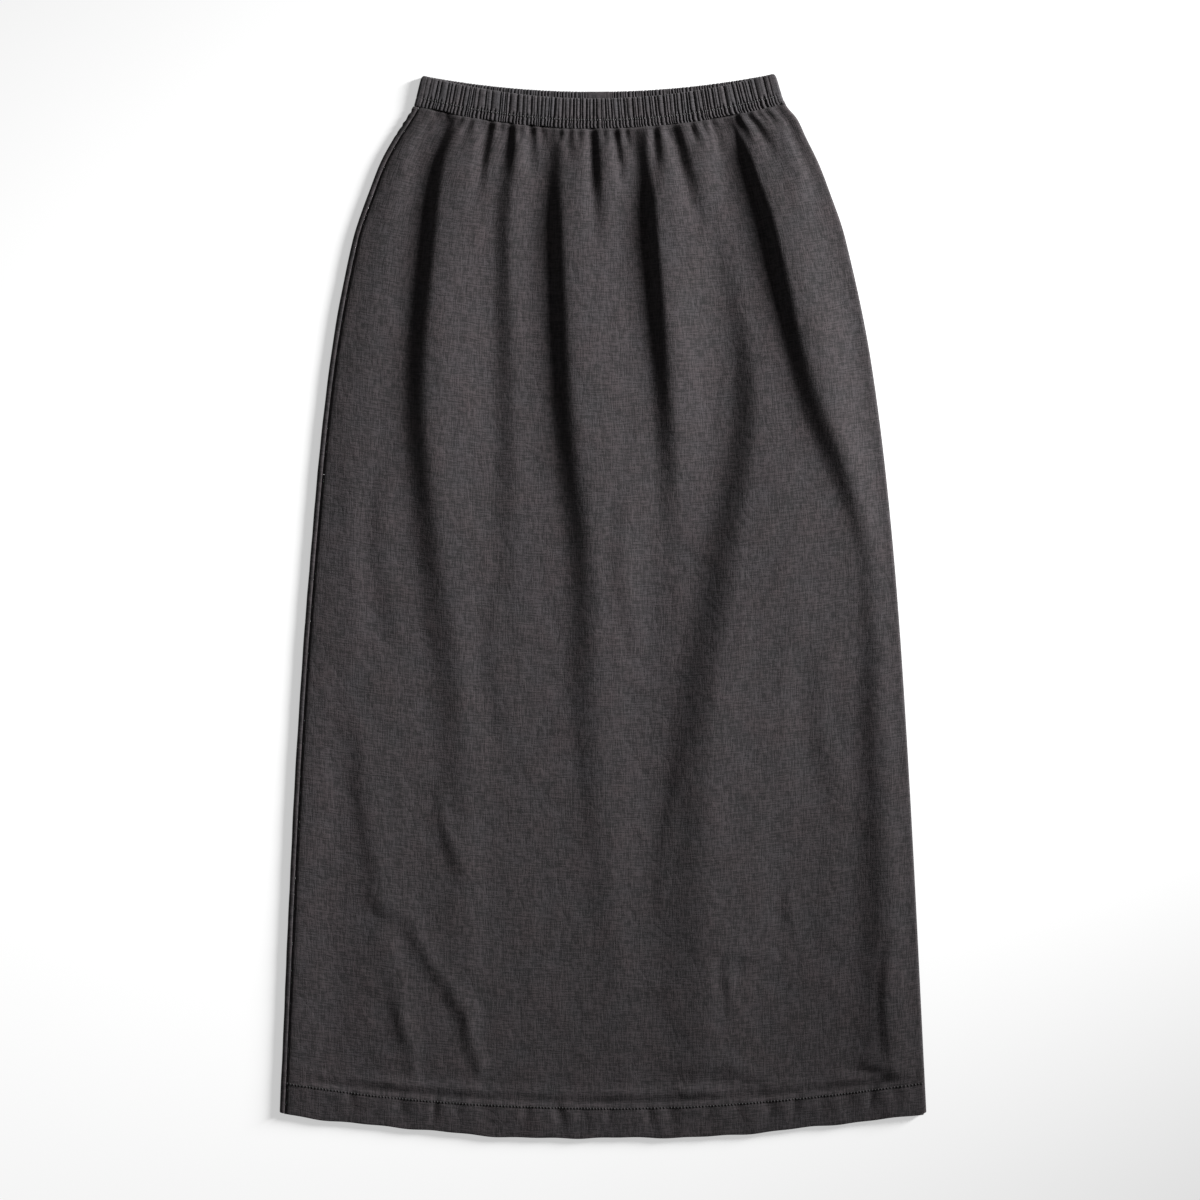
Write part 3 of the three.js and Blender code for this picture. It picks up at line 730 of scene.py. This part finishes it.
def section_places():
    """(down, depth) round the section, as shares of the band's depth and of its wall."""
    top, bottom = 0.07, 0.02  # how much of the depth the two roundings take
    up_inside = [(d, 0.0) for d in np.linspace(1 - bottom, top, 13)]
    down_outside = [(d, 1.0) for d in np.linspace(top, 1 - bottom, 21)]
    over = [(top - top * math.sin(a), 0.5 - 0.5 * math.cos(a)) for a in np.linspace(0, math.pi, 9)[1:-1]]
    under = [
        (1 - bottom + bottom * math.sin(a), 0.5 + 0.5 * math.cos(a)) for a in np.linspace(0, math.pi, 5)[1:-1]
    ]
    return np.array(up_inside + over + down_outside + under)


def casing(down):
    """Wall of the casing, from its top edge to its lower one."""
    full = BAND_WALL - 0.25 * np.exp(-((down / 0.12) ** 2))
    dent = 0.35 * np.exp(-(((down - STITCH_DOWN) / 0.045) ** 2))
    return full - dent - 0.35 * smooth(down, STITCH_DOWN, 0.86) - 0.35 * smooth(down, 0.90, 1.0)


def ring_stations():
    """(share across, angle, half) round the ring. half is 1 in front, -1 behind and 0 at the ends."""
    front = [(s, 0.0, 1) for s in np.linspace(0, 1, FRONT_STATIONS)]
    right = [(1.0, a, 0) for a in np.linspace(0, math.pi, END_STATIONS + 2)[1:-1]]
    back = [(s, math.pi, -1) for s in np.linspace(1, 0, BACK_STATIONS)]
    left = [(0.0, a, 0) for a in np.linspace(math.pi, 2 * math.pi, END_STATIONS + 2)[1:-1]]
    return np.array(front + right + back + left)


STATION_SHARE, STATION_ANGLE, STATION_HALF = ring_stations().T
PLACE_DOWN, PLACE_DEPTH = section_places().T
STRIP_LENGTH = 980.0  # the strip was cut nearly one and a half times as long as the relaxed waist
HALF_BAND = 170.0  # about half the width of the laid band
CORNER = 5.0  # rounding of the band's upper corners


def band_place(column, row):
    station, around = column % RING, row % SECTION
    share, angle, half = STATION_SHARE[station], STATION_ANGLE[station], STATION_HALF[station]
    down, depth = PLACE_DOWN[around], PLACE_DEPTH[around]
    in_front, behind = half == 1, half == -1
    relief = np.where(in_front, front_ribs(share, down), back_ribs(share, down)) * (half != 0)
    relief *= 0.25 + 0.75 * smooth(np.minimum(share, 1 - share), 0.0, 0.035)
    outward = depth * casing(down) + relief * np.where(in_front, -depth, 1 - depth)
    below = BAND_DEPTH * (down - 1)
    left = left_edge(below) + BAND_RADIUS
    right = right_edge(below) - BAND_RADIUS
    reach = GAP / 2 + np.maximum(outward, 0)
    flat_back = GAP / 2 + BAND_WALL - (1 - depth) * 0.6
    reach = np.where(behind & (depth > 0.5), flat_back, reach)
    x = left + (right - left) * share + reach * np.sin(angle)
    z = BAND_RADIUS + reach * np.cos(angle)
    s = across(x, below)
    dip = np.where(behind, BACK_WAIST_DIP, FRONT_WAIST_DIP)
    scallop = 0.4 * relief * (1 - smooth(down, 0.0, 0.12))
    notch = np.clip((gathers(x, np.full_like(x, 5.0)) + folds(x, np.full_like(x, 5.0))[0]) / 5, 0, 1)
    scallop -= 1.5 * notch * smooth(down, 0.85, 1.0) * in_front
    from_end = np.clip(1 - (HALF_BAND * (1 - np.abs(s)) + 0.2) / CORNER, 0, 1)
    scallop += CORNER * (1 - np.sqrt(1 - from_end**2)) * (1 - down)
    y = WAIST_Y + GAP + WAIST_TILT * s - BAND_DEPTH * down - dip * (1 - s * s) - scallop
    thread_x = column / RING * STRIP_LENGTH
    thread_y = row / SECTION * 2 * (BAND_DEPTH + BAND_WALL)
    return x, y, TABLE_Z + lift_off_table(z), thread_x, thread_y


band = lay_out("waistband_cloth", RING + 1, SECTION + 1, band_place)
bpy.ops.object.mode_set(mode="EDIT")
bpy.ops.mesh.select_all(action="SELECT")
bpy.ops.mesh.remove_doubles(threshold=0.000001)
bpy.ops.object.mode_set(mode="OBJECT")
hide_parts("waistband")
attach(band, "root")
print("waistband has", 2 * len(band.data.polygons), "triangles in", RING, "sections")

# %% [markdown]
# ## Stitches
#
# One stitch is modelled by hand: a sphere with few sides, squashed to a small bead of thread whose ends dive
# into the cloth. The stitches of this hem show as dark ticks across the line, so the bead is wider across the
# line than along it. A row of stitching is that stitch again and again, so `sew` copies its vertices to every
# place, turned along the line and laid on the cloth. The hem is sewn all round, 27 mm above its edge, and the
# casing of the waistband at the lower edge of its elastic.

# %% Model one stitch
HALF_LONG = 0.62  # millimetres, along the line
bpy.ops.object.select_all(action="DESELECT")
bpy.ops.mesh.primitive_uv_sphere_add(segments=6, ring_count=4, radius=1.0, rotation=(0, math.pi / 2, 0))
stitch = bpy.context.object
stitch.name = "one_stitch"
bpy.ops.object.transform_apply(location=False, rotation=True, scale=False)
bpy.ops.object.mode_set(mode="EDIT")
bpy.ops.mesh.select_all(action="SELECT")
bpy.ops.transform.resize(value=(HALF_LONG, 1.15, 0.40))
bpy.ops.object.mode_set(mode="OBJECT")
STITCH = np.array([v.co for v in stitch.data.vertices])
STITCH[:, 2] -= 0.22 * (STITCH[:, 0] / HALF_LONG) ** 2  # its ends dive
STITCH_FACES = [tuple(face.vertices) for face in stitch.data.polygons]
bpy.data.objects.remove(stitch)
print("one stitch has", len(STITCH_FACES), "faces and is", round(float(np.ptp(STITCH[:, 0])), 2), "mm long")


def sew(name, line, up):
    """A row of stitches at the points of a line, in millimetres. up points out of the cloth."""
    along = np.gradient(line, axis=0)
    along /= np.linalg.norm(along, axis=1, keepdims=True)
    side = np.cross(up, along)
    side /= np.linalg.norm(side, axis=1, keepdims=True)
    out = np.cross(along, side)
    places = line[:, None] + STITCH[:, :1] * along[:, None]
    places = places + STITCH[:, 1:2] * side[:, None] + STITCH[:, 2:] * out[:, None]
    faces = [tuple(i + k * len(STITCH) for i in face) for k in range(len(line)) for face in STITCH_FACES]
    mesh = bpy.data.meshes.new(name)
    mesh.from_pydata((places.reshape(-1, 3) * MM).tolist(), [], faces)
    mesh.shade_smooth()
    row = bpy.data.objects.new(name, mesh)
    bpy.context.collection.objects.link(row)
    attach(row, "root")
    print(name, "has", len(line), "stitches")
    return row


# %% [markdown]
# ### Where the rows of stitching lie
#
# The hem stitches sit in a slight groove of the cloth, a little under three millimetres apart. Those on the
# underside fill the narrow room between the cloth and the table, so the skirt still rests flat. The casing's
# stitches follow its ribs.

# %% Sew the hem and the casing
PITCH, CASING_PITCH = 2.88, 2.1
HEM_RISE, UNDER_RISE = 0.42, 0.05  # how much higher a stitch's middle lies than the face of the cloth
left, right = float(left_edge(HEM_LINE)) + SEAM_INSET + 1, float(right_edge(HEM_LINE)) - 2.2
at = np.arange(left, right, PITCH)
down = np.full_like(at, HEM_LINE) + 0.25 * np.sin(at / 41)
height, lean = front_height(at, down)
hem_line = np.column_stack(
    (at - lean, level(at, down, FRONT_WAIST_DIP, FRONT_HEM_SAG), TABLE_Z + lift_off_table(height) + HEM_RISE)
)
hem_stitches = sew("front_hem_stitches", hem_line, (0, 0, 1))

at = np.arange(float(left_edge(HEM_LINE)) + 4, float(right_edge(HEM_LINE)) - 4, PITCH)
below = np.full_like(at, HEM_LINE)
under_height = TABLE_Z + LIFT + UNDER_RISE
under_line = np.column_stack(
    (at, level(at, below, BACK_WAIST_DIP, BACK_HEM_SAG), np.full_like(at, under_height))
)
under_stitches = sew("back_hem_stitches", under_line, (0, 0, -1))

share = np.arange(0.012, 0.99, CASING_PITCH / BAND_WIDTH)
at_stitch = np.full_like(share, STITCH_DOWN)
below = BAND_DEPTH * (at_stitch - 1)
at = left_edge(below) + BAND_RADIUS + (right_edge(below) - left_edge(below) - 2 * BAND_RADIUS) * share
ribs = front_ribs(share, at_stitch)
s = across(at, below)
y = WAIST_Y + GAP + WAIST_TILT * s - BAND_DEPTH * STITCH_DOWN
top = TABLE_Z + BAND_RADIUS + GAP / 2 + casing(at_stitch) - 0.4 * ribs
front_line = np.column_stack((at, y - FRONT_WAIST_DIP * (1 - s * s), top))
casing_stitches = sew("casing_front_stitches", front_line, (0, 0, 1))

back_line = np.column_stack((at, y - BACK_WAIST_DIP * (1 - s * s), np.full_like(at, under_height)))
casing_under = sew("casing_back_stitches", back_line, (0, 0, -1))

# %% [markdown]
# ## The finish of the linen
#
# Linen is matt and lively: the yarns are uneven, so thin streaks a little lighter or darker than the rest run
# along both directions of the weave, and thick places, the slubs, stand up. The dye took unevenly too. All of
# this follows the cloth's own coordinates, so it fans out with the folds. Two node groups hold it. The first
# draws the weave itself, thread over thread. The second draws the streaks, the clouds of colour and the
# shallow rumples, a few centimetres across, that washed linen keeps.

# %% Helpers for nodes
def add(tree, kind, inputs=None, **settings):
    """Adds a node. inputs gives a value or another node's output for the name or number of an input."""
    node = tree.nodes.new(kind)
    for key, value in settings.items():
        setattr(node, key, value)
    for key, value in (inputs or {}).items():
        if isinstance(value, bpy.types.NodeSocket):
            tree.links.new(value, node.inputs[key])
        else:
            node.inputs[key].default_value = value
    return node


def calc(tree, operation, *values):
    """The result of a Math node."""
    return add(tree, "ShaderNodeMath", dict(enumerate(values)), operation=operation).outputs[0]


def new_group(name, inputs, outputs):
    """An empty node group with named sockets, its input node and its output node."""
    group = bpy.data.node_groups.new(name, "ShaderNodeTree")
    for title, kind in inputs:
        group.interface.new_socket(title, in_out="INPUT", socket_type=kind)
    for title, kind in outputs:
        group.interface.new_socket(title, in_out="OUTPUT", socket_type=kind)
    return group, group.nodes.new("NodeGroupInput"), group.nodes.new("NodeGroupOutput")


# %% Weave and slubs as node groups
weave, given, result = new_group(
    "plain weave",
    [("Threads", "NodeSocketVector"), ("Pitch", "NodeSocketFloat")],
    [("Height", "NodeSocketFloat")],
)
split_up = add(weave, "ShaderNodeSeparateXYZ", {0: given.outputs["Threads"]})
turns = calc(weave, "DIVIDE", math.pi, given.outputs["Pitch"])
wave_x = calc(weave, "SINE", calc(weave, "MULTIPLY", split_up.outputs["X"], turns))
wave_y = calc(weave, "SINE", calc(weave, "MULTIPLY", split_up.outputs["Y"], turns))
over = calc(weave, "SIGN", calc(weave, "MULTIPLY", wave_x, wave_y))
down_level = calc(weave, "MULTIPLY_ADD", over, 0.25, 0.75)
cross_level = calc(weave, "MULTIPLY_ADD", over, -0.25, 0.75)
down_thread = calc(weave, "MULTIPLY", calc(weave, "ABSOLUTE", wave_x), down_level)
cross_thread = calc(weave, "MULTIPLY", calc(weave, "ABSOLUTE", wave_y), cross_level)
weave.links.new(calc(weave, "MAXIMUM", down_thread, cross_thread), result.inputs["Height"])

slubs, given, result = new_group(
    "slubs and clouds",
    [("Threads", "NodeSocketVector")],
    [("Slubs", "NodeSocketFloat"), ("Clouds", "NodeSocketFloat"), ("Rumples", "NodeSocketFloat")],
)


def streaks(scale):
    """Noise stretched along one direction of the cloth."""
    place = add(slubs, "ShaderNodeMapping", {"Vector": given.outputs["Threads"], "Scale": scale})
    noise = add(slubs, "ShaderNodeTexNoise", {"Vector": place.outputs[0], "Scale": 1.0, "Detail": 2.0})
    return noise.outputs["Fac"]


fine = calc(slubs, "ADD", streaks((900, 110, 1)), streaks((110, 900, 1)))
long = calc(slubs, "ADD", streaks((430, 34, 1)), streaks((34, 430, 1)))
both = calc(slubs, "MULTIPLY_ADD", long, 0.5, calc(slubs, "MULTIPLY", fine, 1.1))
spread = add(slubs, "ShaderNodeMapRange", {"Value": both, "From Min": 1.42, "From Max": 1.78})
cloud = add(slubs, "ShaderNodeTexNoise", {"Vector": given.outputs["Threads"], "Scale": 24.0, "Detail": 4.0})
slubs.links.new(spread.outputs[0], result.inputs["Slubs"])
slubs.links.new(cloud.outputs["Fac"], result.inputs["Clouds"])

swells = add(slubs, "ShaderNodeMapping", {"Vector": given.outputs["Threads"], "Scale": (34, 34, 1)})
swell = add(slubs, "ShaderNodeTexNoise", {"Vector": swells.outputs[0], "Scale": 1.0, "Detail": 4.0})
lines = add(slubs, "ShaderNodeMapping", {"Vector": given.outputs["Threads"], "Scale": (42, 30, 1)})
line = add(
    slubs,
    "ShaderNodeTexNoise",
    {"Vector": lines.outputs[0], "Scale": 1.0, "Detail": 2.0, "Distortion": 0.6},
)
ridge = calc(slubs, "ABSOLUTE", calc(slubs, "MULTIPLY_ADD", line.outputs["Fac"], 2.0, -1.0))
sharp = calc(slubs, "POWER", ridge, 0.6)
slubs.links.new(calc(slubs, "MULTIPLY_ADD", sharp, 0.25, swell.outputs["Fac"]), result.inputs["Rumples"])
print("node groups:", [group.name for group in bpy.data.node_groups])

# %% [markdown]
# ### The linen material
#
# One function mixes the finished material, because the panels and the waistband are cut from the same cloth.
# On the band the colour is a little lighter, as painted light that brightens its ribs, and more even, and the
# bump is weaker, because its ribs already break up the light.
# Sheen gives the soft bloom of short fibres at a grazing angle. It is set on the shader itself.

# %% Mix the linen
def linen(name, dark, light, pitch, slub_bump, rumple_depth):
    material = bpy.data.materials.new(name)
    material.use_nodes = True
    tree = material.node_tree
    tree.nodes.clear()
    threads = add(tree, "ShaderNodeUVMap", uv_map="cloth").outputs["UV"]
    weaving = add(tree, "ShaderNodeGroup", node_tree=weave)
    weaving.inputs["Pitch"].default_value = pitch
    tree.links.new(threads, weaving.inputs["Threads"])
    slubbed = add(tree, "ShaderNodeGroup", node_tree=slubs)
    tree.links.new(threads, slubbed.inputs["Threads"])
    streaky = calc(tree, "MULTIPLY_ADD", slubbed.outputs["Slubs"], 0.80, -0.20)
    cloudy = calc(tree, "MULTIPLY_ADD", slubbed.outputs["Clouds"], 0.44, streaky)
    tone = calc(tree, "MULTIPLY_ADD", weaving.outputs["Height"], 0.20, cloudy)
    # A Mix node has its two colours at inputs 6 and 7, and the mixed one at output 2
    colour = add(tree, "ShaderNodeMix", {"Factor": tone}, data_type="RGBA")
    colour.inputs[6].default_value = (*dark, 1)
    colour.inputs[7].default_value = (*light, 1)
    tint = add(tree, "ShaderNodeTexNoise", {"Vector": threads, "Scale": 34.0, "Detail": 3.0})
    tints = add(tree, "ShaderNodeMix", {"Factor": tint.outputs["Fac"]}, data_type="RGBA")
    tints.inputs[6].default_value = (0.90, 1.02, 1.06, 1)
    tints.inputs[7].default_value = (1.14, 0.97, 0.94, 1)
    tinted = add(tree, "ShaderNodeMix", {"Factor": 1.0}, data_type="RGBA", blend_type="MULTIPLY")
    tree.links.new(colour.outputs[2], tinted.inputs[6])
    tree.links.new(tints.outputs[2], tinted.inputs[7])
    relief = calc(tree, "MULTIPLY_ADD", slubbed.outputs["Slubs"], slub_bump, weaving.outputs["Height"])
    rumpled = add(tree, "ShaderNodeBump", {"Height": slubbed.outputs["Rumples"], "Distance": rumple_depth})
    bump = add(
        tree,
        "ShaderNodeBump",
        {"Height": relief, "Distance": 0.00010, "Strength": 0.7, "Normal": rumpled.outputs[0]},
    )
    rough = calc(tree, "MULTIPLY_ADD", slubbed.outputs["Clouds"], 0.12, 0.82)
    shader = add(
        tree,
        "ShaderNodeBsdfPrincipled",
        {"Base Color": tinted.outputs[2], "Roughness": rough, "Normal": bump.outputs[0]},
    )
    shader.inputs["Specular IOR Level"].default_value = 0.22
    shader.inputs["Sheen Weight"].default_value = 0.06
    shader.inputs["Sheen Roughness"].default_value = 0.6
    add(tree, "ShaderNodeOutputMaterial", {"Surface": shader.outputs[0]})
    print(name, "has", len(tree.nodes), "nodes")
    return material


YARN_PITCH = 0.00062  # metres from one yarn to the next
PANEL_DARK, PANEL_LIGHT = (0.0038, 0.0033, 0.0036), (0.0262, 0.0220, 0.0240)
# The band's colours are lighter than the panels': painted light on the same linen, which brightens its ribs.
BAND_DARK, BAND_LIGHT = (0.0095, 0.0087, 0.0094), (0.0350, 0.0320, 0.0346)
linen_finish = linen("linen", PANEL_DARK, PANEL_LIGHT, YARN_PITCH, 1.8, 0.0017)
band_linen_painted_light = linen("waistband_linen", BAND_DARK, BAND_LIGHT, YARN_PITCH, 0.8, 0.0001)
for cloth in (front_cloth, back_cloth):
    cloth.data.materials.append(linen_finish)
band.data.materials.append(band_linen_painted_light)

# %% [markdown]
# ### The sewing thread
#
# The thread is twisted and smoother than the linen. Its colour is near black: partly the thread's own, partly
# painted shade of the holes and dimples that the stitches pull into the cloth. Fine diagonal bands in its
# colour and bump suggest the twist. The stitches have no coordinates of their own, so the bands read the
# object's.

# %% Thread material
thread_painted_shade = bpy.data.materials.new("thread")
thread_painted_shade.use_nodes = True
tree = thread_painted_shade.node_tree
tree.nodes.clear()
place = add(tree, "ShaderNodeTexCoord").outputs["Object"]
waves = {"Vector": place, "Scale": 900.0, "Distortion": 0.6}
twist = add(tree, "ShaderNodeTexWave", waves, bands_direction="DIAGONAL")
colour = add(tree, "ShaderNodeMix", {"Factor": twist.outputs["Fac"]}, data_type="RGBA")
# Near black: partly the thread's own colour, partly painted shade of the stitch holes in the cloth.
colour.inputs[6].default_value = (0.0012, 0.0011, 0.0012, 1)
colour.inputs[7].default_value = (0.0032, 0.0029, 0.0031, 1)
bump = add(tree, "ShaderNodeBump", {"Height": twist.outputs["Fac"], "Distance": 0.00004, "Strength": 0.6})
shader = add(tree, "ShaderNodeBsdfPrincipled", {"Base Color": colour.outputs[2], "Normal": bump.outputs[0]})
shader.inputs["Roughness"].default_value = 0.6
add(tree, "ShaderNodeOutputMaterial", {"Surface": shader.outputs[0]})
for row in (hem_stitches, under_stitches, casing_stitches, casing_under):
    row.data.materials.append(thread_painted_shade)
print("stitches finished")

# %% [markdown]
# ## The sheets and their cuts
#
# The panels were cut wider than they lie, because the band gathers them, and narrower at the waist than at
# the hem. CUT_WIDTH holds these widths, and cut_across lays the weave out by them.

# %% [markdown]
# ## Table and light
#
# The skirt lies on a plain white surface that glows a little of itself, as a white table under a bright room
# does. A large light stands low at its upper right, so every fold has a lit side and a dark one. Its beam is
# narrow and aimed above the middle, so the light falls off towards the hem. A narrower spread makes an area
# light much stronger at its centre, so its power is low. A pale world fills the shadows.

# %% Floor, light and camera
bpy.ops.object.select_all(action="DESELECT")
bpy.ops.mesh.primitive_plane_add(size=8, location=(0, 0, TABLE_Z * MM))
floor = bpy.context.object
floor.name = "floor"
floor_finish = bpy.data.materials.new("floor_white")
floor_finish.use_nodes = True
floor_shader = floor_finish.node_tree.nodes["Principled BSDF"]
floor_shader.inputs["Base Color"].default_value = (0.38, 0.38, 0.38, 1)
floor_shader.inputs["Roughness"].default_value = 0.9
floor_shader.inputs["Emission Color"].default_value = (1.0, 1.0, 1.0, 1)
floor_shader.inputs["Emission Strength"].default_value = 0.50
floor.data.materials.append(floor_finish)


def softbox(name, place, target, tall, wide, spread, power):
    """An area light that faces a point. spread is the angle of its beam in degrees."""
    bpy.ops.object.light_add(type="AREA", location=place)
    light = bpy.context.object
    light.name = name
    light.data.name = name
    light.data.shape = "RECTANGLE"
    light.data.size = tall
    light.data.size_y = wide
    light.data.energy = power
    light.data.spread = math.radians(spread)
    away = np.array(place) - np.array(target)
    turn = math.atan2(away[1], away[0])
    tip = math.acos(away[2] / np.linalg.norm(away))
    light.rotation_euler = (0, tip, turn)


softbox("key", place=(3.10, 1.42, 1.20), target=(0.0, 0.13, 0), tall=1.40, wide=0.60, spread=36, power=33)
world = bpy.data.worlds.new("studio")
world.use_nodes = True
world.node_tree.nodes["Background"].inputs["Color"].default_value = (1.0, 1.0, 1.0, 1)
world.node_tree.nodes["Background"].inputs["Strength"].default_value = 0.16
bpy.context.scene.world = world

CAMERA_HEIGHT = 2.6
SEEN = 1.08  # metres of the floor across the picture
bpy.ops.object.camera_add(location=(-0.0027, 0.0054, CAMERA_HEIGHT), rotation=(0, 0, 0))
camera = bpy.context.object
camera.data.sensor_width = 36
camera.data.lens = 36 * CAMERA_HEIGHT / SEEN
bpy.context.scene.camera = camera
bpy.context.scene.view_settings.view_transform = "Standard"
print("the camera sees", round(36 / camera.data.lens * CAMERA_HEIGHT, 3), "m across the floor")
